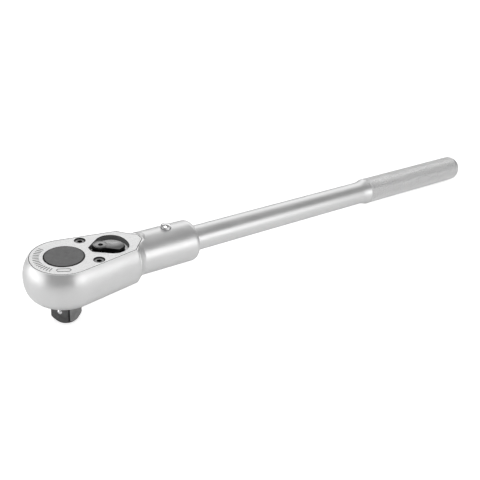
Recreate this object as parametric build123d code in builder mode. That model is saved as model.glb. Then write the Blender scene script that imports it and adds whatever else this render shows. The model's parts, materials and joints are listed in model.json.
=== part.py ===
from build123d import *
import math
import os

# Reversible ratchet wrench with a 3/4 inch square drive and a round handle that slides out of the head.
# Frame: the origin is on the drive axis, level with the head's flat underside. +X runs along the handle,
# +Z points up through the cover plate, and the square tang hangs below Z = 0. Everything is in millimetres.

os.makedirs("parts", exist_ok=True)

# ---- Driving dimensions ----------------------------------------------------------------------------

# Forged head
head_height = 38.0
head_radius = 33.75
widest_z = 22.0
floor_radius = 12.4
rim_radius = 28.8
side_fullness = 0.71
flank_taper = 10.1
shoulder_x = 59.5
shoulder_rounding = 3.0

# Collar that takes the handle, on the handle's axis
axis_z = 21.2
collar_radius = 19.25
collar_start_x = 66.4
collar_end_x = 124.4
collar_end_rounding = 6.0
neck_front_radius = 23.6
neck_middle = (62.6, 20.9)
flat_nose_x = 72.2
flat_nose_side = (70.4, 6.6)
flat_wall_lean = 35.0
bore_radius = 11.92
bore_start_x = 74.6

# Cover plate and what holds it
plate_radius = 28.0
plate_thickness = 7.5
plate_corner_x = 56.4
plate_nose = (70.5, 3.8)
plate_nose_rounding = 1.5
plate_gap = 0.15
plate_edge = 0.4
gasket_thickness = 0.5
screw_x = 22.4
screw_y = 18.1
screw_length = 12.0
screw_radius = 2.5
screw_hole_radius = 2.75
screw_head_radius = 4.25
screw_head_height = 5.0
screw_head_edge = 0.4
screw_sink = 1.0
counterbore_radius = 4.5
hex_across = 4.0
hex_depth = 2.6
dowel_radius = 1.5
dowel_length = 10.0
dowel_in_body = 6.0
dowel_circle = 25.95
dowel_angle = 135.0
dowel_edge = 0.2

# Shallow marks on the cover: the outline of an oblong and a ring of plain ticks
mark_depth = 0.35
panel_place = (-8.9, -19.3)
panel_turn = -26.0
panel_length = 11.8
panel_width = 4.8
panel_line = 0.8
tick_circle = 22.5
tick_count = 16
tick_start = 121.0
tick_span = 104.0
tick_length = 5.0
tick_width = 0.9

# Ratchet gear with its boss, journal and square tang
square = 19.05
square_corner = 1.0
square_turn = -149.3
tang_length = 22.3
tang_end_radius = 8.8
tang_taper_radius = 13.15
tang_taper_height = 4.6
tang_full_height = 6.2
tooth_count = 48
gear_radius = 22.5
tooth_depth = 1.1
tooth_floor = 0.3
gear_bottom = 8.85
gear_top = 27.5
cavity_radius = 23.5
cavity_floor = 8.0
boss_radius = 16.45
boss_hole_radius = 16.55
boss_proud = 0.4
boss_edge = 0.7
journal_radius = 15.0
journal_bottom = 0.3
bush_inner_radius = 15.04
bush_outer_radius = 17.0
bush_bottom = 2.6
bush_edge = 0.3
press_gap = 0.01
seal_bore_radius = 15.15
thrust_thickness = 0.8
thrust_radius = 21.0
thrust_hole_radius = 15.3
cone_inner = 17.3
cone_outer = 21.8
cone_thickness = 0.7

# Rubber rings: middle height, section radius, middle of the section and depth of the groove
boss_seal_z = 34.2
boss_seal_section = 0.85
boss_seal_radius = 15.65
boss_groove_radius = 14.75
drive_seal_z = 1.6
drive_seal_section = 0.75
drive_seal_radius = 14.35
drive_groove_radius = 13.55
lever_seal_section = 0.7
lever_seal_radius = 5.22
lever_groove_radius = 5.95
lever_groove_bottom = 31.05
lever_groove_height = 1.5

# Detent ball in the tang
ball_radius = 3.0
ball_proud = 1.2
ball_z = -11.1
ball_clearance = 0.05
ball_hole_depth = 14.0
ball_spring_radius = 2.3
ball_spring_wire = 0.35
ball_spring_turns = 7

# Reversing lever, its pocket and its spindle
pivot_x = 32.7
lever_turn = -33.0
lever_top = 40.3
lever_bottom = 33.6
lever_hub_radius = 7.1
lever_hub_x = 4.4
lever_reach = 20.5
lever_waist_x = 9.4
lever_waist = 4.5
lever_tip_x = 16.4
lever_tip_half = 7.0
lever_edge = 1.0
saddle_x = 11.0
saddle_radius = 26.0
saddle_depth = 0.9
dimple_radius = 2.1
dimple_floor_radius = 0.3
dimple_depth = 1.5
hub_ring_radius = 4.9
hub_ring_width = 0.5
hub_ring_depth = 0.35
pocket_depth = 4.6
pocket_reach = 24.0
pocket_front = (23.3, 3.5)
pocket_flank = 38.5
pocket_front_rounding = 1.8
pocket_back_rounding = 13.0
spindle_radius = 4.5
spindle_hole_radius = 4.55
pilot_radius = 4.0
pilot_bottom = 3.2
ring_groove_radius = 3.7
ring_bottom = 29.2
ring_thickness = 1.0
ring_radius = 6.4
ring_slot = 2.4

# Pawl
pawl_bottom = 8.3
pawl_top = 27.0
pawl_hub_radius = 8.0
pawl_rock = 6.0
mesh_gap = 0.1
plunger_z = 15.0
plunger_radius = 1.5
plunger_start = 0.8
plunger_reach = 6.0
plunger_nose = 1.2
plunger_hole_depth = 3.9
plunger_room = 0.2
plunger_spring_radius = 1.15
plunger_spring_wire = 0.22
plunger_spring_turns = 6
window_radius = 6.3
window_margin = 22.0

# Where each horn of the pawl meets the gear: radius and angle from the drive axis
horn_inner = 21.0
horn_tip_angle = 33.5
horn_root_angle = 18.8
horn_tip_outer = 23.2
horn_back = (24.6, 29.0)
horn_hub_offset = (1.9, 7.7)
horn_throat_offset = (-6.2, 2.0)
horn_room = [(14.0, 14.9), (22.0, 14.9), (27.0, 12.8), (38.0, 6.8)]
hub_room = 0.6

# Handle, lock pin and button
handle_radius = 11.84
handle_start_x = 75.0
flare_start_x = 337.0
flare_end_x = 349.2
grip_radius = 13.7
flare_shoulder = (347.0, 12.95)
flare_crest = (348.0, 13.48)
grip_end_x = 495.6
handle_end_x = 504.4
end_crown = 1.6
end_radius = 8.0
spigot_edge = 1.0
button_x = 96.6
button_radius = 4.5
button_dome = 1.5
button_room = 0.3
button_top = 44.3
button_bottom = 36.7
button_flange_radius = 5.5
button_flange = 1.0
lock_pin_radius = 5.4
lock_pin_bottom = 26.7
lock_pin_edge = 0.4
lock_hole_bottom = 17.0
lock_spring_radius = 4.2
lock_spring_wire = 0.45
lock_spring_turns = 4
slide_gap = 0.05

# How far a cutting shape runs past what it cuts
cut_over = 1.0

plate_bottom = head_height - plate_thickness
ledge_z = plate_bottom - gasket_thickness
pocket_floor = head_height - pocket_depth
collar_flat_half = math.sqrt(collar_radius**2 - (head_height - axis_z) ** 2)
screw_places = [(screw_x, screw_y), (screw_x, -screw_y)]
taper_sin = math.sin(math.radians(flank_taper))
taper_cos = math.cos(math.radians(flank_taper))


# ---- Shared outlines -------------------------------------------------------------------------------

def head_section():
    """Half section of the forged head: flat floor, full lower flank, gentle lean to the rim."""
    with BuildSketch() as section:
        with BuildLine():
            spread = head_radius - floor_radius
            Line((0, 0), (floor_radius, 0))
            Bezier(
                (floor_radius, 0),
                (floor_radius + spread * side_fullness, 0),
                (head_radius, widest_z * (1 - side_fullness)),
                (head_radius, widest_z),
            )
            TangentArc((head_radius, widest_z), (rim_radius, head_height), tangent=(0, 1))
            Line((rim_radius, head_height), (0, head_height))
            Line((0, head_height), (0, 0))
        make_face()
    return section.sketch


def cover_outline(grow):
    """Outline of the cover plate: a round front, tapering flanks and a blunt nose on the neck."""
    radius = plate_radius + grow
    front = (radius * taper_sin, radius * taper_cos)
    corner = (plate_corner_x + grow, (radius - plate_corner_x * taper_sin) / taper_cos)
    nose = (plate_nose[0] + grow, plate_nose[1] + grow)
    with BuildSketch() as outline:
        with BuildLine():
            ThreePointArc(front, (-radius, 0), (front[0], -front[1]))
            Line((front[0], -front[1]), (corner[0], -corner[1]))
            Line((corner[0], -corner[1]), (nose[0], -nose[1]))
            Line((nose[0], -nose[1]), nose)
            Line(nose, corner)
            Line(corner, front)
        make_face()
        fillet(outline.vertices().sort_by(Axis.X)[-2:], plate_nose_rounding)
    return outline.sketch


def pocket_outline():
    """Fan-shaped pocket for the reversing lever, with its back struck from the lever's pivot."""
    back_x = pivot_x + 2 * pocket_reach
    back_half = pocket_front[1] + (back_x - pocket_front[0]) * math.tan(math.radians(pocket_flank))
    with BuildSketch() as outline:
        with Locations((pivot_x, 0)):
            Circle(pocket_reach)
        with BuildLine(mode=Mode.PRIVATE) as fan:
            Polyline(
                (pocket_front[0], -pocket_front[1]),
                (back_x, -back_half),
                (back_x, back_half),
                pocket_front,
                close=True,
            )
        make_face(fan.edges(), mode=Mode.INTERSECT)
        fillet(outline.vertices().group_by(Axis.X)[-1], pocket_back_rounding)
        fillet(outline.vertices().group_by(Axis.X)[0], pocket_front_rounding)
    return outline.sketch


def flat_outline():
    """Where the top of the neck is milled flat: straight back, then a nose that runs into the collar."""
    with BuildSketch() as outline:
        with BuildLine():
            Line((collar_start_x, collar_flat_half), (collar_start_x, 2 * head_radius))
            Line((collar_start_x, 2 * head_radius), (-2 * head_radius, 2 * head_radius))
            Line((-2 * head_radius, 2 * head_radius), (-2 * head_radius, -2 * head_radius))
            Line((-2 * head_radius, -2 * head_radius), (collar_start_x, -2 * head_radius))
            Line((collar_start_x, -2 * head_radius), (collar_start_x, -collar_flat_half))
            Spline(
                (collar_start_x, -collar_flat_half),
                (flat_nose_side[0], -flat_nose_side[1]),
                (flat_nose_x, 0),
                flat_nose_side,
                (collar_start_x, collar_flat_half),
            )
        make_face()
    return outline.sketch


def gear_outline(grow):
    """Ratchet teeth as a disc with V notches, one of them on +X. grow offsets every tooth surface."""
    outer = gear_radius + grow
    floor = gear_radius - tooth_depth + grow
    floor_half = tooth_floor / 2 + grow - grow * math.sqrt(2)
    mouth = outer + cut_over
    mouth_half = floor_half + mouth - floor
    with BuildSketch() as outline:
        Circle(outer)
        with BuildSketch(mode=Mode.PRIVATE) as notch:
            with BuildLine():
                Polyline(
                    (floor, -floor_half),
                    (mouth, -mouth_half),
                    (mouth, mouth_half),
                    (floor, floor_half),
                    close=True,
                )
            make_face()
        with PolarLocations(0, tooth_count):
            add(notch.sketch, mode=Mode.SUBTRACT)
    return outline.sketch


def polar(radius, degrees):
    """Point at a radius and an angle from the drive axis."""
    return (radius * math.cos(math.radians(degrees)), radius * math.sin(math.radians(degrees)))


def engaged_horn():
    """Hub and one horn of the pawl, with the horn's teeth seated in the gear."""
    with BuildSketch() as horn:
        with Locations((pivot_x, 0)):
            Circle(pawl_hub_radius)
        with BuildLine():
            Polyline(
                polar(horn_inner, horn_tip_angle),
                polar(horn_tip_outer, horn_tip_angle),
                polar(*horn_back),
                (pivot_x + horn_hub_offset[0], horn_hub_offset[1]),
                (pivot_x, 0),
                (pivot_x + horn_throat_offset[0], horn_throat_offset[1]),
                polar(horn_inner, horn_root_angle),
                close=True,
            )
        make_face()
        add(gear_outline(mesh_gap), mode=Mode.SUBTRACT)
    return horn.sketch


def coil(start, direction, length, radius, wire, turns):
    """Round-wire compression spring between two flat seats."""
    along = Vector(direction).normalized()
    centre = Vector(start) + along * wire
    rise = length - 2 * wire
    with BuildPart() as spring:
        with BuildLine() as path:
            Helix(pitch=rise / turns, height=rise, radius=radius, center=centre, direction=along)
        with BuildSketch(Plane(origin=path.line @ 0, z_dir=path.line % 0)):
            Circle(wire)
        sweep(is_frenet=True)
    return spring.part


def o_ring(centre, ring_radius, section_radius):
    """Rubber ring of round section lying flat around a vertical axis."""
    with BuildPart() as ring:
        with BuildSketch(Plane.XZ.offset(-centre[1])):
            with Locations((centre[0] + ring_radius, centre[2])):
                Circle(section_radius)
        revolve(axis=Axis((centre[0], centre[1], 0), (0, 0, 1)))
    return ring.part


# ---- Head ------------------------------------------------------------------------------------------

dowel_places = [polar(dowel_circle, dowel_angle), polar(dowel_circle, -dowel_angle)]

# The tapering flanks: the head's section drawn out along each flank, as far as the shoulder
flank_plane = Plane(origin=(0, 0, 0), x_dir=(taper_sin, taper_cos, 0), z_dir=(taper_cos, -taper_sin, 0))
with BuildPart() as flanks:
    with BuildSketch(flank_plane):
        add(head_section())
    extrude(amount=2 * shoulder_x)
    split(bisect_by=Plane.XZ, keep=Keep.BOTTOM)
    split(bisect_by=Plane.YZ.offset(shoulder_x), keep=Keep.BOTTOM)
    mirror(about=Plane.XZ)
    rear_face = flanks.faces().filter_by(Axis.X).sort_by(Axis.X)[-1]
    fillet(rear_face.edges().group_by(Axis.Z)[0:-1], shoulder_rounding)

# Neck and collar, turned about the handle's axis
handle_plane = Plane(origin=(0, 0, axis_z), x_dir=(1, 0, 0), z_dir=(0, -1, 0))
handle_axis = Axis((0, 0, axis_z), (1, 0, 0))
neck_start_x = shoulder_x - shoulder_rounding
with BuildPart() as collar:
    with BuildSketch(handle_plane):
        with BuildLine():
            Line((neck_start_x, 0), (neck_start_x, neck_front_radius))
            Line((neck_start_x, neck_front_radius), (shoulder_x, neck_front_radius))
            ThreePointArc((shoulder_x, neck_front_radius), neck_middle, (collar_start_x, collar_radius))
            Line((collar_start_x, collar_radius), (collar_end_x - collar_end_rounding, collar_radius))
            TangentArc(
                (collar_end_x - collar_end_rounding, collar_radius),
                (collar_end_x, collar_radius - collar_end_rounding),
                tangent=(1, 0),
            )
            Line((collar_end_x, collar_radius - collar_end_rounding), (collar_end_x, 0))
            Line((collar_end_x, 0), (neck_start_x, 0))
        make_face()
    revolve(axis=handle_axis)
    # The neck keeps level with the head's flat underside
    with BuildSketch():
        with Locations((shoulder_x, 0)):
            Rectangle(4 * collar_radius, 4 * collar_radius)
    extrude(amount=-collar_radius, mode=Mode.SUBTRACT)

with BuildPart() as head_body:
    with BuildSketch(Plane.XZ):
        add(head_section())
    revolve(axis=Axis.Z)
    add(flanks.part)
    add(collar.part)
    # The cover plate's flat runs on over the neck and into the collar
    with BuildSketch(Plane.XY.offset(head_height)):
        add(flat_outline())
    extrude(amount=collar_radius, taper=-flat_wall_lean, mode=Mode.SUBTRACT)
    # Recess for the cover plate
    with BuildSketch(Plane.XY.offset(ledge_z)):
        add(cover_outline(plate_gap))
    extrude(amount=head_height, mode=Mode.SUBTRACT)
    # Room for the gear and for both horns of the pawl
    with BuildSketch(Plane.XY.offset(cavity_floor)):
        Circle(cavity_radius)
        with Locations((pivot_x, 0)):
            Circle(pawl_hub_radius + hub_room)
        with BuildLine():
            Polyline(*horn_room, *[(x, -y) for x, y in reversed(horn_room)], close=True)
        make_face()
    extrude(amount=head_height, mode=Mode.SUBTRACT)
    # Stepped bore for the journal's bush and seal
    with BuildSketch(Plane.XY.offset(bush_bottom)):
        Circle(bush_outer_radius)
    extrude(amount=cavity_floor, mode=Mode.SUBTRACT)
    with BuildSketch(Plane.XY.offset(-cut_over)):
        Circle(seal_bore_radius)
    extrude(amount=cavity_floor, mode=Mode.SUBTRACT)
    # Blind bearing for the foot of the lever's spindle
    with BuildSketch(Plane.XY.offset(pilot_bottom - slide_gap)):
        with Locations((pivot_x, 0)):
            Circle(pilot_radius + slide_gap)
    extrude(amount=cavity_floor, mode=Mode.SUBTRACT)
    # Holes for the cover's screws and dowels
    with BuildSketch(Plane.XY.offset(ledge_z)):
        with Locations(*screw_places):
            Circle(screw_radius + slide_gap)
    extrude(amount=-screw_length, mode=Mode.SUBTRACT)
    with BuildSketch(Plane.XY.offset(ledge_z)):
        with Locations(*dowel_places):
            Circle(dowel_radius + slide_gap)
    extrude(amount=-dowel_in_body, mode=Mode.SUBTRACT)
    # Bore for the handle, and the stepped cross hole for the button
    with BuildSketch(Plane.YZ.offset(bore_start_x)):
        with Locations((0, axis_z)):
            Circle(bore_radius)
    extrude(amount=collar_end_x, mode=Mode.SUBTRACT)
    with BuildSketch(Plane.XY.offset(axis_z)):
        with Locations((button_x, 0)):
            Circle(button_flange_radius + 2 * slide_gap)
    extrude(amount=button_bottom + button_flange + slide_gap - axis_z, mode=Mode.SUBTRACT)
    with BuildSketch(Plane.XY.offset(axis_z)):
        with Locations((button_x, 0)):
            Circle(button_radius + button_room)
    extrude(amount=head_height, mode=Mode.SUBTRACT)
head_body.part.label = "head_body"
export_step(head_body.part, "parts/head_body.step")

# ---- Cover -----------------------------------------------------------------------------------------

with BuildPart() as cover_plate:
    with BuildSketch(Plane.XY.offset(plate_bottom)):
        add(cover_outline(0))
        Circle(boss_hole_radius, mode=Mode.SUBTRACT)
    extrude(amount=plate_thickness)
    with BuildSketch(Plane.XY.offset(pocket_floor)):
        add(pocket_outline())
    extrude(amount=plate_thickness, mode=Mode.SUBTRACT)
    with Locations((pivot_x, 0, pocket_floor)):
        Hole(spindle_hole_radius)
    with Locations(*[(x, y, head_height) for x, y in screw_places]):
        CounterBoreHole(screw_hole_radius, counterbore_radius, screw_head_height + screw_sink)
    chamfer(cover_plate.faces().sort_by(Axis.Z)[-1].edges(), plate_edge)
    with BuildSketch(Plane.XY.offset(lever_groove_bottom)):
        with Locations((pivot_x, 0)):
            Circle(lever_groove_radius)
    extrude(amount=lever_groove_height, mode=Mode.SUBTRACT)
    with BuildSketch(Plane.XY.offset(plate_bottom)):
        with Locations(*dowel_places):
            Circle(dowel_radius + slide_gap)
    extrude(amount=dowel_length - dowel_in_body, mode=Mode.SUBTRACT)
    with BuildSketch(Plane.XY.offset(head_height - mark_depth)):
        with Locations(Location(panel_place, panel_turn)):
            SlotOverall(panel_length, panel_width)
            SlotOverall(panel_length - 2 * panel_line, panel_width - 2 * panel_line, mode=Mode.SUBTRACT)
        with PolarLocations(tick_circle, tick_count, start_angle=tick_start, angular_range=tick_span):
            Rectangle(tick_length, tick_width)
    extrude(amount=plate_thickness, mode=Mode.SUBTRACT)
cover_plate.part.label = "cover_plate"
export_step(cover_plate.part, "parts/cover_plate.step")

with BuildPart() as cover_gasket:
    with BuildSketch(Plane.XY.offset(ledge_z)):
        add(cover_outline(-plate_gap))
        Circle(cavity_radius, mode=Mode.SUBTRACT)
        with Locations((pivot_x, 0)):
            Circle(pawl_hub_radius + hub_room, mode=Mode.SUBTRACT)
        with Locations((cavity_radius, 0)):
            Rectangle(pawl_hub_radius, 2 * pawl_hub_radius, mode=Mode.SUBTRACT)
        with Locations(*screw_places):
            Circle(screw_hole_radius, mode=Mode.SUBTRACT)
        with Locations(*dowel_places):
            Circle(dowel_radius + plate_gap, mode=Mode.SUBTRACT)
    extrude(amount=gasket_thickness)
cover_gasket.part.label = "cover_gasket"
export_step(cover_gasket.part, "parts/cover_gasket.step")

screw_top = head_height - screw_sink
with BuildPart() as cover_screws:
    with BuildSketch(Plane.XY.offset(screw_top)):
        with Locations(*screw_places):
            Circle(screw_head_radius)
    extrude(amount=-screw_head_height)
    chamfer(cover_screws.edges().group_by(Axis.Z)[-1], screw_head_edge)
    with BuildSketch(Plane.XY.offset(screw_top)):
        with Locations(*screw_places):
            RegularPolygon(hex_across / 2, 6, major_radius=False)
    extrude(amount=-hex_depth, mode=Mode.SUBTRACT)
    with BuildSketch(Plane.XY.offset(screw_top - screw_head_height)):
        with Locations(*screw_places):
            Circle(screw_radius)
    extrude(amount=-screw_length)
cover_screws.part.label = "cover_screws"
export_step(cover_screws.part, "parts/cover_screws.step")

with BuildPart() as cover_dowels:
    with BuildSketch(Plane.XY.offset(ledge_z - dowel_in_body)):
        with Locations(*dowel_places):
            Circle(dowel_radius)
    extrude(amount=dowel_length)
    chamfer(cover_dowels.edges().filter_by(GeomType.CIRCLE), dowel_edge)
cover_dowels.part.label = "cover_dowels"
export_step(cover_dowels.part, "parts/cover_dowels.step")

# ---- Drive gear and what it runs in ----------------------------------------------------------------

boss_top = head_height + boss_proud
ball_seat = square / 2 + ball_proud - ball_radius
out_of_face = Vector(math.cos(math.radians(square_turn)), math.sin(math.radians(square_turn)), 0)
ball_centre = out_of_face * ball_seat + Vector(0, 0, ball_z)

tang_root_z = journal_bottom + cut_over

# Envelope that turns the tang's lower corners off to a cone
with BuildPart() as tang_turning:
    with BuildSketch(Plane.XZ):
        with BuildLine():
            Polyline(
                (0, tang_root_z),
                (square, tang_root_z),
                (square, tang_full_height - tang_length),
                (tang_taper_radius, tang_taper_height - tang_length),
                (tang_end_radius, -tang_length),
                (0, -tang_length),
                close=True,
            )
        make_face()
    revolve(axis=Axis.Z)

with BuildPart() as tang:
    with BuildSketch(Plane.XY.offset(-tang_length)) as tang_section:
        Rectangle(square, square, rotation=square_turn)
        chamfer(tang_section.vertices(), square_corner)
    extrude(amount=tang_length + tang_root_z)
    add(tang_turning.part, mode=Mode.INTERSECT)

with BuildPart() as drive_gear:
    with BuildSketch(Plane.XY.offset(gear_bottom)):
        add(gear_outline(0))
    extrude(amount=gear_top - gear_bottom)
    with BuildSketch(Plane.XY.offset(gear_top)):
        Circle(boss_radius)
    extrude(amount=boss_top - gear_top)
    chamfer(drive_gear.edges().filter_by(GeomType.CIRCLE).sort_by(Axis.Z)[-1], boss_edge)
    with BuildSketch(Plane.XY.offset(journal_bottom)):
        Circle(journal_radius)
    extrude(amount=gear_bottom - journal_bottom)
    add(tang.part)
    # Grooves for the two rubber rings
    with BuildSketch(Plane.XY.offset(boss_seal_z - boss_seal_section - slide_gap)):
        Circle(gear_radius)
        Circle(boss_groove_radius, mode=Mode.SUBTRACT)
    extrude(amount=2 * (boss_seal_section + slide_gap), mode=Mode.SUBTRACT)
    with BuildSketch(Plane.XY.offset(drive_seal_z - drive_seal_section - slide_gap)):
        Circle(gear_radius)
        Circle(drive_groove_radius, mode=Mode.SUBTRACT)
    extrude(amount=2 * (drive_seal_section + slide_gap), mode=Mode.SUBTRACT)
    # Blind hole for the detent ball, with a mouth that keeps the ball in
    with Locations(Location(ball_centre)):
        Sphere(ball_radius + ball_clearance, mode=Mode.SUBTRACT)
    with BuildSketch(Plane(origin=ball_centre, z_dir=-out_of_face)):
        Circle(ball_radius + ball_clearance)
    extrude(amount=ball_hole_depth, mode=Mode.SUBTRACT)
drive_gear.part.label = "drive_gear"
export_step(drive_gear.part, "parts/drive_gear.step")

with BuildPart() as drive_ball:
    with Locations(Location(ball_centre)):
        Sphere(ball_radius)
drive_ball.part.label = "drive_ball"
export_step(drive_ball.part, "parts/drive_ball.step")

ball_spring_length = ball_hole_depth - ball_radius - 2 * slide_gap
with BuildPart() as drive_ball_spring:
    add(
        coil(
            start=ball_centre - out_of_face * (ball_radius + slide_gap),
            direction=-out_of_face,
            length=ball_spring_length,
            radius=ball_spring_radius,
            wire=ball_spring_wire,
            turns=ball_spring_turns,
        )
    )
drive_ball_spring.part.label = "drive_ball_spring"
export_step(drive_ball_spring.part, "parts/drive_ball_spring.step")

with BuildPart() as drive_bush:
    with BuildSketch(Plane.XY.offset(bush_bottom)):
        Circle(bush_outer_radius - press_gap)
        Circle(bush_inner_radius, mode=Mode.SUBTRACT)
    extrude(amount=cavity_floor - bush_bottom)
    chamfer(drive_bush.edges().group_by(Axis.Z)[-1], bush_edge)
drive_bush.part.label = "drive_bush"
export_step(drive_bush.part, "parts/drive_bush.step")

with BuildPart() as drive_seal:
    add(o_ring((0, 0, drive_seal_z), drive_seal_radius, drive_seal_section))
drive_seal.part.label = "drive_seal"
export_step(drive_seal.part, "parts/drive_seal.step")

with BuildPart() as boss_seal:
    add(o_ring((0, 0, boss_seal_z), boss_seal_radius, boss_seal_section))
boss_seal.part.label = "boss_seal"
export_step(boss_seal.part, "parts/boss_seal.step")

with BuildPart() as thrust_washer:
    with BuildSketch(Plane.XY.offset(cavity_floor)):
        Circle(thrust_radius)
        Circle(thrust_hole_radius, mode=Mode.SUBTRACT)
    extrude(amount=thrust_thickness)
thrust_washer.part.label = "thrust_washer"
export_step(thrust_washer.part, "parts/thrust_washer.step")

# Coned washer that keeps the gear down on its thrust washer
with BuildPart() as disc_spring:
    with BuildSketch(Plane.XZ):
        with BuildLine():
            Polyline(
                (cone_inner, gear_top + slide_gap),
                (cone_inner, gear_top + slide_gap + cone_thickness),
                (cone_outer, plate_bottom - slide_gap),
                (cone_outer, plate_bottom - slide_gap - cone_thickness),
                close=True,
            )
        make_face()
    revolve(axis=Axis.Z)
disc_spring.part.label = "disc_spring"
export_step(disc_spring.part, "parts/disc_spring.step")

# ---- Reversing lever and pawl ----------------------------------------------------------------------

lever_cos = math.cos(math.radians(lever_turn))
lever_sin = math.sin(math.radians(lever_turn))
along_lever = Vector(lever_cos, lever_sin, 0)


def lever_plane(height):
    """Level plane whose X axis runs from the pivot to the lever's tip."""
    return Plane(origin=(pivot_x, 0, height), x_dir=(lever_cos, lever_sin, 0), z_dir=(0, 0, 1))


plunger_middle = Vector(pivot_x, 0, plunger_z)
hub_y = math.sqrt(lever_hub_radius**2 - lever_hub_x**2)
lever_upright = Plane(
    origin=(pivot_x, 0, lever_top), x_dir=(lever_cos, lever_sin, 0), z_dir=(lever_sin, -lever_cos, 0)
)

with BuildPart() as reversing_lever:
    with BuildSketch(lever_plane(lever_bottom)) as lever_section:
        with BuildLine():
            ThreePointArc((lever_hub_x, hub_y), (-lever_hub_radius, 0), (lever_hub_x, -hub_y))
            ThreePointArc(
                (lever_hub_x, -hub_y), (lever_waist_x, -lever_waist), (lever_tip_x, -lever_tip_half)
            )
            ThreePointArc((lever_tip_x, -lever_tip_half), (lever_reach, 0), (lever_tip_x, lever_tip_half))
            ThreePointArc((lever_tip_x, lever_tip_half), (lever_waist_x, lever_waist), (lever_hub_x, hub_y))
        make_face()
        fillet(lever_section.vertices(), lever_edge)
    extrude(amount=lever_top - lever_bottom)
    chamfer(reversing_lever.edges().group_by(Axis.Z)[-1], lever_edge)
    # Thumb saddle between the hub and the tip
    with BuildSketch(lever_upright):
        with Locations((saddle_x, saddle_radius - saddle_depth)):
            Circle(saddle_radius)
    extrude(amount=lever_hub_radius * 2, both=True, mode=Mode.SUBTRACT)
    # Centre dimple with a fine ring around it
    with Locations(Location((pivot_x, 0, lever_top - dimple_depth / 2))):
        Cone(dimple_floor_radius, dimple_radius, dimple_depth, mode=Mode.SUBTRACT)
    with BuildSketch(Plane.XY.offset(lever_top)):
        with Locations((pivot_x, 0)):
            Circle(hub_ring_radius + hub_ring_width)
            Circle(hub_ring_radius, mode=Mode.SUBTRACT)
    extrude(amount=-hub_ring_depth, mode=Mode.SUBTRACT)
    # Spindle: through the plate and the pawl, down to its pilot in the floor
    with BuildSketch(Plane.XY.offset(cavity_floor)):
        with Locations((pivot_x, 0)):
            Circle(spindle_radius)
    extrude(amount=lever_bottom - cavity_floor)
    with BuildSketch(Plane.XY.offset(pilot_bottom)):
        with Locations((pivot_x, 0)):
            Circle(pilot_radius)
    extrude(amount=cavity_floor - pilot_bottom)
    with BuildSketch(Plane.XY.offset(ring_bottom - slide_gap)):
        with Locations((pivot_x, 0)):
            Circle(lever_hub_radius)
            Circle(ring_groove_radius, mode=Mode.SUBTRACT)
    extrude(amount=ring_thickness + 2 * slide_gap, mode=Mode.SUBTRACT)
    # Cross hole for the plunger and its spring
    with BuildSketch(Plane(origin=plunger_middle - along_lever * plunger_hole_depth, z_dir=along_lever)):
        Circle(plunger_radius + slide_gap)
    extrude(amount=3 * spindle_radius, mode=Mode.SUBTRACT)
reversing_lever.part.label = "reversing_lever"
export_step(reversing_lever.part, "parts/reversing_lever.step")

with BuildPart() as lever_seal:
    lever_seal_z = lever_groove_bottom + lever_groove_height / 2
    add(o_ring((pivot_x, 0, lever_seal_z), lever_seal_radius, lever_seal_section))
lever_seal.part.label = "lever_seal"
export_step(lever_seal.part, "parts/lever_seal.step")

with BuildPart() as lever_retaining_ring:
    with BuildSketch(Plane.XY.offset(ring_bottom)):
        with Locations((pivot_x, 0)):
            Circle(ring_radius)
            Circle(ring_groove_radius + slide_gap, mode=Mode.SUBTRACT)
        with Locations((pivot_x + ring_radius, 0)):
            Rectangle(2 * ring_radius, ring_slot, mode=Mode.SUBTRACT)
    extrude(amount=ring_thickness)
lever_retaining_ring.part.label = "lever_retaining_ring"
export_step(lever_retaining_ring.part, "parts/lever_retaining_ring.step")

with BuildPart() as pawl_plunger:
    with BuildSketch(Plane(origin=plunger_middle + along_lever * plunger_start, z_dir=along_lever)):
        Circle(plunger_radius)
    extrude(amount=plunger_reach - plunger_start)
    plunger_rims = pawl_plunger.edges().filter_by(GeomType.CIRCLE).sort_by(Axis((0, 0, 0), along_lever))
    fillet(plunger_rims[-1], plunger_nose)
pawl_plunger.part.label = "pawl_plunger"
export_step(pawl_plunger.part, "parts/pawl_plunger.step")

with BuildPart() as plunger_spring:
    add(
        coil(
            start=plunger_middle - along_lever * (plunger_hole_depth - slide_gap),
            direction=along_lever,
            length=plunger_hole_depth + plunger_start - 2 * slide_gap,
            radius=plunger_spring_radius,
            wire=plunger_spring_wire,
            turns=plunger_spring_turns,
        )
    )
plunger_spring.part.label = "plunger_spring"
export_step(plunger_spring.part, "parts/plunger_spring.step")

# The pawl at rest: its +Y horn is seated, and its -Y horn is rocked clear of the gear
pivot_line = Axis((pivot_x, 0, 0), (0, 0, 1))
seated_horn = engaged_horn()
lifted_horn = seated_horn.mirror(Plane.XZ).rotate(pivot_line, pawl_rock)
window_low = math.radians(lever_turn - window_margin)
window_high = math.radians(pawl_rock - lever_turn + window_margin)
window_reach = 3 * plunger_reach
with BuildPart() as pawl:
    with BuildSketch(Plane.XY.offset(pawl_bottom)):
        add(seated_horn)
        add(lifted_horn)
        with Locations((pivot_x, 0)):
            Circle(spindle_hole_radius, mode=Mode.SUBTRACT)
    extrude(amount=pawl_top - pawl_bottom)
    # Cam window inside the hub, in which the plunger swings from one side to the other
    with BuildSketch(Plane.XY.offset(plunger_z - plunger_radius - plunger_room)):
        with Locations((pivot_x, 0)):
            Circle(window_radius)
        with BuildLine(mode=Mode.PRIVATE) as wedge:
            Polyline(
                (pivot_x, 0),
                (pivot_x + window_reach * math.cos(window_low), window_reach * math.sin(window_low)),
                (pivot_x + window_reach * math.cos(window_high), window_reach * math.sin(window_high)),
                close=True,
            )
        make_face(wedge.edges(), mode=Mode.INTERSECT)
    extrude(amount=2 * (plunger_radius + plunger_room), mode=Mode.SUBTRACT)
pawl.part.label = "pawl"
export_step(pawl.part, "parts/pawl.step")

# ---- Handle and its lock ---------------------------------------------------------------------------

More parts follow.
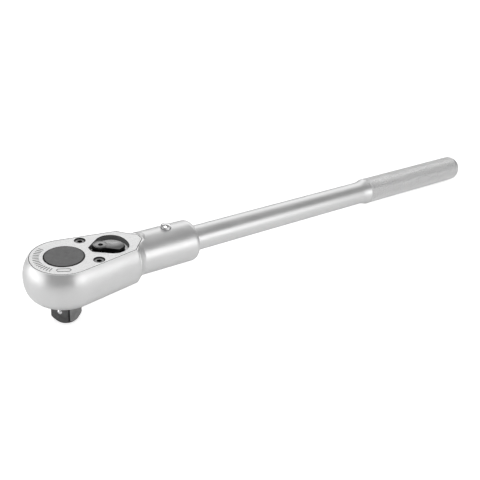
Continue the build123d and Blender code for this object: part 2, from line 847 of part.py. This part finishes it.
with BuildPart() as handle_bar:
    with BuildSketch(handle_plane):
        with BuildLine():
            Polyline(
                (handle_start_x, 0),
                (handle_start_x, handle_radius - spigot_edge),
                (handle_start_x + spigot_edge, handle_radius),
                (flare_start_x, handle_radius),
            )
            TangentArc((flare_start_x, handle_radius), flare_shoulder, tangent=(1, 0))
            ThreePointArc(flare_shoulder, flare_crest, (flare_end_x, grip_radius))
            Line((flare_end_x, grip_radius), (grip_end_x, grip_radius))
            TangentArc((grip_end_x, grip_radius), (handle_end_x - end_crown, end_radius), tangent=(1, 0))
            TangentArc((handle_end_x, 0), (handle_end_x - end_crown, end_radius), tangent=(0, 1))
            Line((handle_end_x, 0), (handle_start_x, 0))
        make_face()
    revolve(axis=handle_axis)
    with BuildSketch(Plane.XY.offset(lock_hole_bottom)):
        with Locations((button_x, 0)):
            Circle(lock_pin_radius + slide_gap)
    extrude(amount=head_height, mode=Mode.SUBTRACT)
handle_bar.part.label = "handle_bar"
export_step(handle_bar.part, "parts/handle_bar.step")

button_plane = Plane(origin=(button_x, 0, 0), x_dir=(1, 0, 0), z_dir=(0, -1, 0))
button_axis = Axis((button_x, 0, 0), (0, 0, 1))
with BuildPart() as handle_button:
    with BuildSketch(button_plane):
        with BuildLine():
            Polyline(
                (0, button_top),
                (0, button_bottom),
                (button_flange_radius, button_bottom),
                (button_flange_radius, button_bottom + button_flange),
                (button_radius, button_bottom + button_flange),
                (button_radius, button_top - button_dome),
            )
            TangentArc((0, button_top), (button_radius, button_top - button_dome), tangent=(1, 0))
        make_face()
    revolve(axis=button_axis)
handle_button.part.label = "handle_button"
export_step(handle_button.part, "parts/handle_button.step")

with BuildPart() as handle_lock_pin:
    with BuildSketch(Plane.XY.offset(lock_pin_bottom)):
        with Locations((button_x, 0)):
            Circle(lock_pin_radius)
    extrude(amount=button_bottom - slide_gap - lock_pin_bottom)
    chamfer(handle_lock_pin.edges().group_by(Axis.Z)[-1], lock_pin_edge)
handle_lock_pin.part.label = "handle_lock_pin"
export_step(handle_lock_pin.part, "parts/handle_lock_pin.step")

with BuildPart() as lock_pin_spring:
    add(
        coil(
            start=(button_x, 0, lock_hole_bottom + slide_gap),
            direction=(0, 0, 1),
            length=lock_pin_bottom - lock_hole_bottom - 2 * slide_gap,
            radius=lock_spring_radius,
            wire=lock_spring_wire,
            turns=lock_spring_turns,
        )
    )
lock_pin_spring.part.label = "lock_pin_spring"
export_step(lock_pin_spring.part, "parts/lock_pin_spring.step")
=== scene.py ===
import json
import math

import bmesh
import bpy
from mathutils import Matrix, Vector

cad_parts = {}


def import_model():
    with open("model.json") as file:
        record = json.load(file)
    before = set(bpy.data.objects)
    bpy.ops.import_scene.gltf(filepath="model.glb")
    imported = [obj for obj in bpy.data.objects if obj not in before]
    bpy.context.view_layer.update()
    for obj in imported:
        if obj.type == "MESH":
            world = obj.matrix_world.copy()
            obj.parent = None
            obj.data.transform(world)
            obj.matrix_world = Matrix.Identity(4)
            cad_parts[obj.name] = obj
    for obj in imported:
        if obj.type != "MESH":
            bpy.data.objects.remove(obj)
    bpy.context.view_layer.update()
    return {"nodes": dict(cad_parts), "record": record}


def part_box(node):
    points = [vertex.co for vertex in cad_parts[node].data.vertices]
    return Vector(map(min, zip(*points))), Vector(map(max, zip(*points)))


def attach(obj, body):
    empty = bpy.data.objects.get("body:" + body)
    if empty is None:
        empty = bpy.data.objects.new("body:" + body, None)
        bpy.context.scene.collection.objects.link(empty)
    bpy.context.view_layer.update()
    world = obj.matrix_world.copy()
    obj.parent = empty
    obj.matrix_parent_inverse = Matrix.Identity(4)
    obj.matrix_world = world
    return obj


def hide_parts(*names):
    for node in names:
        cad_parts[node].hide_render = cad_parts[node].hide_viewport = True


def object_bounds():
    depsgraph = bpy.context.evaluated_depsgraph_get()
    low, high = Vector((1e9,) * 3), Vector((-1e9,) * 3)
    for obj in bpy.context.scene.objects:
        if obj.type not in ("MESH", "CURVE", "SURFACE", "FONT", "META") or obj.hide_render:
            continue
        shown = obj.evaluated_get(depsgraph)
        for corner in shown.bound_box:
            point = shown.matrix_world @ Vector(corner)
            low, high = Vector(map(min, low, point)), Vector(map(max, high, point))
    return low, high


# Looks of the 3/4 inch reversible ratchet wrench: satin chrome head and handle, a finely ground cover
# plate, dark phosphated drive and lever, and bright small parts. Lengths are in metres.

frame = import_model()
nodes = frame["nodes"]
MM = 0.001
# Heading of the tang's flat that holds the detent ball, in degrees from +X
SQUARE_TURN = -149.3
LEVER_PIVOT_X = 32.7 * MM
# Height of the floors of the ticks and of the oblong outline in the cover plate
TICK_FLOOR_Z = 37.65 * MM


# ---- Material helpers ------------------------------------------------------------------------------

# A face looks along an axis wholly when its normal has FACE_TO of its length on it, and not at all
# below FACE_FROM. The finishes paint shade on faces that fall short of it, such as walls and chamfers
FACE_FROM = 0.80
FACE_TO = 0.97


class Finish:
    """A Principled material with small helpers for its procedural detail, in the row frame's metres."""

    def __init__(self, name, **values):
        self.material = bpy.data.materials.new(name)
        self.material.use_nodes = True
        self.tree = self.material.node_tree
        self.surface = self.tree.nodes["Principled BSDF"]
        for socket, value in values.items():
            self.surface.inputs[socket.replace("_", " ")].default_value = value

    def node(self, kind, **values):
        made = self.tree.nodes.new(kind)
        for key, value in values.items():
            if key in made.inputs:
                made.inputs[key].default_value = value
            else:
                setattr(made, key, value)
        return made

    def link(self, source, target):
        self.tree.links.new(source, target)

    def place(self, stretch=(1, 1, 1)):
        """Coordinates of the point on the object, stretched for grain that runs one way."""
        coords = self.node("ShaderNodeTexCoord")
        mapping = self.node("ShaderNodeMapping", Scale=stretch)
        self.link(coords.outputs["Object"], mapping.inputs["Vector"])
        return mapping.outputs["Vector"]

    def parts(self, vector):
        """The X, Y and Z of a vector."""
        split = self.node("ShaderNodeSeparateXYZ")
        self.link(vector, split.inputs["Vector"])
        return split.outputs["X"], split.outputs["Y"], split.outputs["Z"]

    def noise(self, size, stretch=(1, 1, 1), detail=3.0, roughness=0.55):
        """Noise whose blobs are about size metres across."""
        made = self.node("ShaderNodeTexNoise", Scale=1 / size, Detail=detail, Roughness=roughness)
        self.link(self.place(stretch), made.inputs["Vector"])
        return made.outputs["Fac"]

    def spread(self, source, low, high, from_low=0.3, from_high=0.7):
        """The source's range from_low..from_high drawn out to low..high, and held there beyond it."""
        made = self.node("ShaderNodeMapRange")
        made.inputs["From Min"].default_value = from_low
        made.inputs["From Max"].default_value = from_high
        made.inputs["To Min"].default_value = low
        made.inputs["To Max"].default_value = high
        self.link(source, made.inputs["Value"])
        return made.outputs["Result"]

    def mix(self, a, b, factor=0.5):
        made = self.node("ShaderNodeMix", data_type="FLOAT")
        made.inputs["Factor"].default_value = factor
        self.link(a, made.inputs["A"])
        self.link(b, made.inputs["B"])
        return made.outputs["Result"]

    def roughness(self, source):
        self.link(source, self.surface.inputs["Roughness"])

    def tint(self, source, dark, light):
        """Base colour from dark to light by a 0..1 source."""
        ramp = self.node("ShaderNodeValToRGB")
        ramp.color_ramp.elements[0].color = (*dark, 1)
        ramp.color_ramp.elements[1].color = (*light, 1)
        self.link(source, ramp.inputs["Fac"])
        self.link(ramp.outputs["Color"], self.surface.inputs["Base Color"])

    def flatness(self):
        """1 on level faces, falling to 0 on upright walls."""
        coords = self.node("ShaderNodeTexCoord")
        size = self.node("ShaderNodeMath", operation="ABSOLUTE")
        self.link(self.parts(coords.outputs["Normal"])[2], size.inputs[0])
        return size.outputs["Value"]

    def level(self):
        """1 on faces that look up or down, 0 on upright walls."""
        return self.spread(self.flatness(), 0.0, 1.0, FACE_FROM, FACE_TO)

    def upright(self, tone):
        """tone on upright walls, 0 on chamfers and level faces."""
        return self.spread(self.flatness(), tone, 0.0, from_low=0.3, from_high=0.5)

    def square_faces(self, turn, dark_pair):
        """Painted shade for a square turned about Z: corners and chamfers 0, two faces dark_pair and two
        1.
        """
        coords = self.node("ShaderNodeTexCoord")
        turned = self.node("ShaderNodeMapping", vector_type="VECTOR", Rotation=(0, 0, -math.radians(turn)))
        self.link(coords.outputs["Normal"], turned.inputs["Vector"])
        size = self.node("ShaderNodeVectorMath", operation="ABSOLUTE")
        self.link(turned.outputs["Vector"], size.inputs[0])
        x, y, z = self.parts(size.outputs["Vector"])
        faces = self.spread(self.largest(self.largest(x, y), z), 0.0, 1.0, FACE_FROM, FACE_TO)
        return self.multiply(faces, self.spread(y, dark_pair, 1.0, FACE_FROM, FACE_TO))

    def largest(self, a, b):
        made = self.node("ShaderNodeMath", operation="MAXIMUM")
        self.link(a, made.inputs[0])
        self.link(b, made.inputs[1])
        return made.outputs["Value"]

    def slope(self, centre_x, turn, start, end, low):
        """From low to 1 along a direction turn degrees off Y, between two distances past centre_x."""
        angle = math.radians(turn)
        coords = self.node("ShaderNodeTexCoord")
        turned = self.node("ShaderNodeMapping", Rotation=(0, 0, angle))
        turned.inputs["Location"].default_value = (0, -centre_x * math.sin(angle), 0)
        self.link(coords.outputs["Object"], turned.inputs["Vector"])
        return self.spread(self.parts(turned.outputs["Vector"])[1], low, 1.0, start, end)

    def outside(self, height, half, inside):
        """1 everywhere but within half of one height, where it has the value inside."""
        coords = self.node("ShaderNodeTexCoord")
        near = self.node("ShaderNodeMath", operation="COMPARE")
        near.inputs[1].default_value = height
        near.inputs[2].default_value = half
        self.link(self.parts(coords.outputs["Object"])[2], near.inputs[0])
        return self.spread(near.outputs["Value"], 1.0, inside, 0.0, 1.0)

    def multiply(self, a, b):
        made = self.node("ShaderNodeMath", operation="MULTIPLY")
        self.link(a, made.inputs[0])
        self.link(b, made.inputs[1])
        return made.outputs["Value"]

    def bump(self, source, depth, strength=1.0):
        made = self.node("ShaderNodeBump", Strength=strength, Distance=depth)
        self.link(source, made.inputs["Height"])
        self.link(made.outputs["Normal"], self.surface.inputs["Normal"])


def satin_chrome(name, stretch):
    """Matt chrome over a blasted forging: soft highlights, fine grain, faint handling marks."""
    made = Finish(name, Metallic=1.0)
    grain = made.noise(0.35 * MM, stretch, detail=4.0)
    cloud = made.noise(14 * MM, detail=2.0)
    marks = made.noise(3 * MM, (0.25, 1, 1), detail=6.0, roughness=0.7)
    made.tint(made.mix(cloud, marks, 0.35), (0.74, 0.74, 0.74), (0.84, 0.84, 0.84))
    made.roughness(made.spread(made.mix(cloud, grain, 0.5), 0.34, 0.46))
    made.bump(grain, 0.012 * MM, 0.6)
    return made.material


def ground_plate():
    """Cover plate: pale, finely blasted top and pocket floor, with painted shade on its walls and
    chamfers.
    """
    made = Finish("ground_plate", Metallic=0.4)
    grain = made.noise(0.3 * MM, detail=5.0)
    lines = made.noise(0.8 * MM, (0.08, 1, 1), detail=4.0)
    mottle = made.noise(1.2 * MM, detail=6.0, roughness=0.75)
    both = made.mix(made.mix(grain, lines, 0.45), mottle, 0.5)
    # Painted shade: level faces keep the grain's pale tone, walls are darkened to 0.1 and chamfers to
    # black
    bright = made.multiply(made.level(), made.spread(both, 0.80, 1.0, 0.38, 0.54))
    # Floors of the ticks and of the oblong outline are tinted darker
    tops = made.multiply(bright, made.outside(TICK_FLOOR_Z, half=0.06 * MM, inside=0.45))
    made.tint(made.largest(tops, made.upright(0.1)), (0.01, 0.01, 0.01), (1.0, 1.0, 1.0))
    made.roughness(made.spread(both, 0.46, 0.62))
    made.bump(both, 0.06 * MM, 1.0)
    return made.material


def drive_painted_shade(made):
    """Painted shade on the drive: the square's face with the ball, its opposite face and level faces
    darker, corners, chamfers and most round walls black.
    """
    return made.square_faces(SQUARE_TURN, dark_pair=0.34)


def lever_painted_shade(made):
    """Painted shade: level faces pale and walls dark, with a painted gradient that darkens the level faces
    on one side of the pivot.
    """
    level = made.level()
    return made.multiply(level, made.slope(LEVER_PIVOT_X, turn=14, start=-6 * MM, end=0.5 * MM, low=0.22))


def phosphate(name, dark, light, rough, painted_shade_areas, metallic=0.75):
    """Dark phosphated steel with a fine crystal grain and paler rubbed patches, times the painted shade
    that the areas function gives.
    """
    made = Finish(name, Metallic=metallic)
    grain = made.noise(0.25 * MM, detail=4.0)
    rub = made.noise(6 * MM, detail=5.0, roughness=0.65)
    wear = made.spread(made.mix(grain, rub, 0.6), 0.35, 1.0)
    # Painted shade from the areas function, times the random rubbed patches
    made.tint(made.multiply(painted_shade_areas(made), wear), dark, light)
    made.roughness(made.spread(rub, rough - 0.06, rough + 0.08))
    made.bump(grain, 0.015 * MM, 0.7)
    return made.material


def bright_steel():
    """Polished steel with hair-fine marks."""
    made = Finish("bright_steel", Metallic=1.0)
    marks = made.noise(1.2 * MM, (1, 0.2, 1), detail=6.0, roughness=0.7)
    made.tint(marks, (0.78, 0.78, 0.79), (0.90, 0.90, 0.90))
    made.roughness(made.spread(marks, 0.10, 0.22))
    made.bump(marks, 0.004 * MM, 0.5)
    return made.material


def spring_steel():
    """Drawn wire and stamped spring parts."""
    made = Finish("spring_steel", Metallic=1.0)
    marks = made.noise(0.6 * MM, detail=4.0)
    made.tint(marks, (0.35, 0.35, 0.36), (0.55, 0.55, 0.56))
    made.roughness(made.spread(marks, 0.25, 0.4))
    made.bump(marks, 0.005 * MM, 0.5)
    return made.material


def bronze():
    """Oiled sintered bronze."""
    made = Finish("bush_bronze", Metallic=1.0)
    pores = made.noise(0.4 * MM, detail=5.0)
    made.tint(pores, (0.38, 0.24, 0.10), (0.70, 0.48, 0.22))
    made.roughness(made.spread(pores, 0.3, 0.5))
    made.bump(pores, 0.01 * MM, 0.6)
    return made.material


def rubber(name, dark, light):
    """Seal rubber or gasket fibre."""
    made = Finish(name, Metallic=0.0)
    grain = made.noise(0.5 * MM, detail=4.0)
    made.tint(grain, dark, light)
    made.roughness(made.spread(grain, 0.55, 0.75))
    made.bump(grain, 0.01 * MM, 0.6)
    return made.material


finishes = {
    "satin_chrome": satin_chrome("satin_chrome", (1, 1, 1)),
    "handle_chrome": satin_chrome("handle_chrome", (1, 0.4, 0.4)),
    "ground_plate": ground_plate(),
    "dark_phosphate": phosphate(
        "dark_phosphate", (0.01, 0.01, 0.01), (0.46, 0.46, 0.462), 0.36, drive_painted_shade, metallic=0.4
    ),
    "lever_phosphate": phosphate(
        "lever_phosphate", (0.006, 0.006, 0.006), (0.47, 0.47, 0.471), 0.30, lever_painted_shade
    ),
    # Screws: painted shade on walls and chamfers, pale level faces
    "black_screw": phosphate(
        "black_screw", (0.015, 0.015, 0.015), (0.33, 0.33, 0.331), 0.34, Finish.level
    ),
    "bright_steel": bright_steel(),
    "spring_steel": spring_steel(),
    "bush_bronze": bronze(),
    "seal_rubber": rubber("seal_rubber", (0.015, 0.015, 0.015), (0.035, 0.035, 0.035)),
    "gasket_fibre": rubber("gasket_fibre", (0.05, 0.05, 0.05), (0.11, 0.11, 0.11)),
}

for row in frame["record"]["subparts"]:
    mesh = nodes[row["node"]].data
    mesh.materials.clear()
    mesh.materials.append(finishes[row["material_slot"]])


# ---- Handle with its knurled grip ------------------------------------------------------------------

# Shaft, and the flare that eases out to the grip by the square and the cube of the way along it
low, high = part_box("handle_bar")
axis_z = (low.z + high.z) / 2
grip_radius = (high.z - low.z) / 2
shaft_radius = 11.84 * MM
start_x, end_x = low.x, high.x
shaft_end = 337 * MM
flare = 12.2 * MM
spigot_edge = 1.0 * MM
shaft_rings = 24
flare_rings = 16
flare_square = 0.35
flare_cube = 0.65
flare_settle = 0.4 * MM

# Knurl: diamonds round the grip, each a grid of steps by steps, cut into the grip's cylinder. The depth
# of its grooves follows a wave along the grip
knurl_start = 350.8 * MM
knurl_end = end_x - 10.4 * MM
knurl_shoulder = 0.9 * MM
knurl_runout = 0.35 * MM
around = 40
steps = 6
knurl_depth = 0.5 * MM
flat_share = 0.34
diamond_length = 3.8 * MM
wave_length = 4.2 * MM
wave_mean = 0.7
wave_swing = 0.3

# Grip's end: a plain band, a rounded corner and a shallow dome
band_length = 1.0 * MM
corner_width = 8.3 * MM
corner_inset = 0.15 * MM
corner_rings = 12
dome_height = 1.4 * MM
dome_rings = 6


def turned_profile():
    """Radius along the handle, from the spigot to the start of the knurl."""
    points = [(start_x, shaft_radius - spigot_edge), (start_x + spigot_edge, shaft_radius)]
    for i in range(1, shaft_rings + 1):
        points.append((start_x + (shaft_end - start_x) * i / shaft_rings, shaft_radius))
    for i in range(1, flare_rings + 1):
        t = i / flare_rings
        ease = flare_square * t * t + flare_cube * t * t * t
        points.append((shaft_end + flare * t, shaft_radius + (grip_radius - shaft_radius) * ease))
    points.append((shaft_end + flare + flare_settle, grip_radius))
    points.append((knurl_start - knurl_shoulder, grip_radius))
    return points


def knurl_height(i, j):
    """Height of the diamond pattern, from 0 in the grooves to 1, at grid column i and row j."""
    u = (i / steps + j / steps) % 1
    v = (i / steps - j / steps) % 1
    pyramid = min(1 - abs(2 * u - 1), 1 - abs(2 * v - 1))
    groove = 1 - min(pyramid, flat_share) / flat_share
    wave = wave_mean + wave_swing * math.cos(2 * math.pi * j * diamond_length / steps / wave_length)
    return 1 - groove * wave


def diagonal_height(i, j, across=False):
    """Sum of the heights at two opposite corners of a grid cell."""
    if across:
        return knurl_height(i, j + 1) + knurl_height(i + 1, j)
    return knurl_height(i, j) + knurl_height(i + 1, j + 1)


def build_handle():
    """Turned bar with the knurl cut into its grip and both ends closed, in place of the plain CAD bar.

    It leaves out the lock pin's cross hole, which is inside the collar.
    """
    bm = bmesh.new()
    columns = around * steps
    rings = []

    def ring(x, radii):
        made = []
        for i, radius in enumerate(radii):
            turn = 2 * math.pi * i / columns
            made.append(bm.verts.new((x, -radius * math.cos(turn), axis_z + radius * math.sin(turn))))
        rings.append(made)

    def round_ring(x, radius):
        ring(x, [radius] * columns)

    for x, radius in turned_profile():
        round_ring(x, radius)
    round_ring(knurl_start - knurl_runout, grip_radius - knurl_depth)
    knurl_first = len(rings)
    rows = steps * round((knurl_end - knurl_start) / diamond_length)
    for j in range(rows + 1):
        x = knurl_start + (knurl_end - knurl_start) * j / rows
        ring(x, [grip_radius - knurl_depth * (1 - knurl_height(i, j)) for i in range(columns)])
    round_ring(knurl_end + knurl_runout, grip_radius - knurl_depth)

    dome_radius = grip_radius - corner_width
    corner_length = end_x - knurl_end - band_length - dome_height
    for i in range(corner_rings + 1):
        angle = math.pi / 2 * i / corner_rings
        x = end_x - dome_height - corner_length * (1 - math.sin(angle))
        round_ring(x, dome_radius + (grip_radius - corner_inset - dome_radius) * math.cos(angle))
    for i in range(1, dome_rings):
        share = i / dome_rings
        round_ring(end_x - dome_height * (1 - share) ** 2, dome_radius * (1 - share))

    for r in range(len(rings) - 1):
        j = r - knurl_first
        for i in range(columns):
            k = (i + 1) % columns
            a, b, c, d = rings[r][i], rings[r + 1][i], rings[r + 1][k], rings[r][k]
            if not 0 <= j < rows:
                bm.faces.new((a, b, c, d)).smooth = True
            # In the knurl, each cell folds along its lower diagonal, so that the grooves stay sharp
            elif diagonal_height(i, j) <= diagonal_height(i, j, across=True):
                bm.faces.new((a, b, c))
                bm.faces.new((a, c, d))
            else:
                bm.faces.new((a, b, d))
                bm.faces.new((b, c, d))
    first = bm.verts.new((start_x, 0, axis_z))
    last = bm.verts.new((end_x, 0, axis_z))
    for i in range(columns):
        k = (i + 1) % columns
        bm.faces.new((first, rings[0][i], rings[0][k]))
        bm.faces.new((last, rings[-1][k], rings[-1][i]))
    bmesh.ops.recalc_face_normals(bm, faces=bm.faces)
    mesh = bpy.data.meshes.new("handle")
    bm.to_mesh(mesh)
    bm.free()
    mesh.materials.append(finishes["handle_chrome"])
    made = bpy.data.objects.new("handle", mesh)
    bpy.context.scene.collection.objects.link(made)
    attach(made, "head")
    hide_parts("handle_bar")


build_handle()


# ---- Studio ----------------------------------------------------------------------------------------

# The wrench leans on the end of its tang and the far end of its grip
tang_foot = Vector((0, 0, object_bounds()[0].z))
grip_foot = Vector((knurl_end, 0, axis_z - grip_radius))
tilt = math.atan2(grip_foot.z - tang_foot.z, grip_foot.x - tang_foot.x)

# Glow of the floor and the surroundings, as a light and as the camera sees it
floor_half = 8.0
floor_light = 0.11
floor_seen = 0.72
world_light = 0.30
world_seen = 1.0

# Lights, and the camera with its sensor and lens in millimetres and its turn in degrees
light_target = Vector((0.15, 0, 0.02))
sensor_width = 36
lens = 53.35
camera_heading = 50.89
camera_dip = 28.92
camera_roll = 5.26
camera_place = (-0.2022, -0.4732, 0.3416)


def direction(heading, elevation):
    """Unit vector at a heading from +X and an elevation, in degrees."""
    heading, elevation = math.radians(heading), math.radians(elevation)
    return Vector((
        math.cos(heading) * math.cos(elevation),
        math.sin(heading) * math.cos(elevation),
        math.sin(elevation),
    ))


def floor():
    """Pale floor under the tang and the grip, on which the wrench leans."""
    mesh = bpy.data.meshes.new("floor")
    half = floor_half
    corners = [(-half, -half, 0), (half, -half, 0), (half, half, 0), (-half, half, 0)]
    mesh.from_pydata(corners, [], [(0, 1, 2, 3)])
    made = bpy.data.objects.new("floor", mesh)
    made.location = tang_foot
    made.rotation_euler = (0, -tilt, 0)
    bpy.context.scene.collection.objects.link(made)
    paper = Finish("floor_paper", Roughness=0.9, Emission_Color=(1, 1, 1, 1))
    seen = paper.node("ShaderNodeLightPath").outputs["Is Camera Ray"]
    glow = paper.spread(seen, floor_light, floor_seen, from_low=0.0, from_high=1.0)
    paper.link(glow, paper.surface.inputs["Emission Strength"])
    cloud = paper.noise(0.3, detail=2.0)
    paper.tint(cloud, (0.90, 0.90, 0.90), (0.92, 0.92, 0.92))
    mesh.materials.append(paper.material)


def softbox(name, heading, elevation, distance, size, power):
    """Area light that faces the middle of the wrench's front half from a heading and an elevation."""
    light = bpy.data.lights.new(name, "AREA")
    light.shape = "RECTANGLE"
    light.size, light.size_y = size
    light.energy = power
    lamp = bpy.data.objects.new(name, light)
    out = direction(heading, elevation)
    lamp.location = light_target + out * distance
    lamp.rotation_euler = (-out).to_track_quat("-Z", "Y").to_euler()
    lamp.visible_camera = False
    bpy.context.scene.collection.objects.link(lamp)


def world():
    """Even white surroundings, brighter as a backdrop than as a light."""
    made = bpy.data.worlds.new("studio")
    made.use_nodes = True
    tree = made.node_tree
    background = tree.nodes["Background"]
    path = tree.nodes.new("ShaderNodeLightPath")
    white = tree.nodes.new("ShaderNodeBackground")
    white.inputs["Color"].default_value = (1, 1, 1, 1)
    white.inputs["Strength"].default_value = world_seen
    background.inputs["Color"].default_value = (1, 1, 1, 1)
    background.inputs["Strength"].default_value = world_light
    mix = tree.nodes.new("ShaderNodeMixShader")
    tree.links.new(path.outputs["Is Camera Ray"], mix.inputs["Fac"])
    tree.links.new(background.outputs["Background"], mix.inputs[1])
    tree.links.new(white.outputs["Background"], mix.inputs[2])
    tree.links.new(mix.outputs["Shader"], tree.nodes["World Output"].inputs["Surface"])
    bpy.context.scene.world = made


def camera():
    """Above and to the left of the head, looking along the handle."""
    data = bpy.data.cameras.new("camera")
    data.sensor_width = sensor_width
    data.lens = lens
    made = bpy.data.objects.new("camera", data)
    upright = direction(camera_heading, -camera_dip).to_track_quat("-Z", "Y").to_matrix()
    made.rotation_euler = (upright @ Matrix.Rotation(math.radians(camera_roll), 3, "Z")).to_euler()
    made.location = camera_place
    bpy.context.scene.collection.objects.link(made)
    bpy.context.scene.camera = made


floor()
world()
softbox("back", heading=50, elevation=34, distance=1.6, size=(2.2, 1.0), power=6.6)
softbox("right", heading=-67, elevation=8, distance=1.4, size=(1.2, 1.1), power=5.8)
softbox("left", heading=160, elevation=6, distance=1.3, size=(1.4, 0.7), power=4.6)
softbox("top", heading=180, elevation=78, distance=1.6, size=(0.8, 0.8), power=7.5)
camera()
bpy.context.scene.view_settings.view_transform = "Standard"
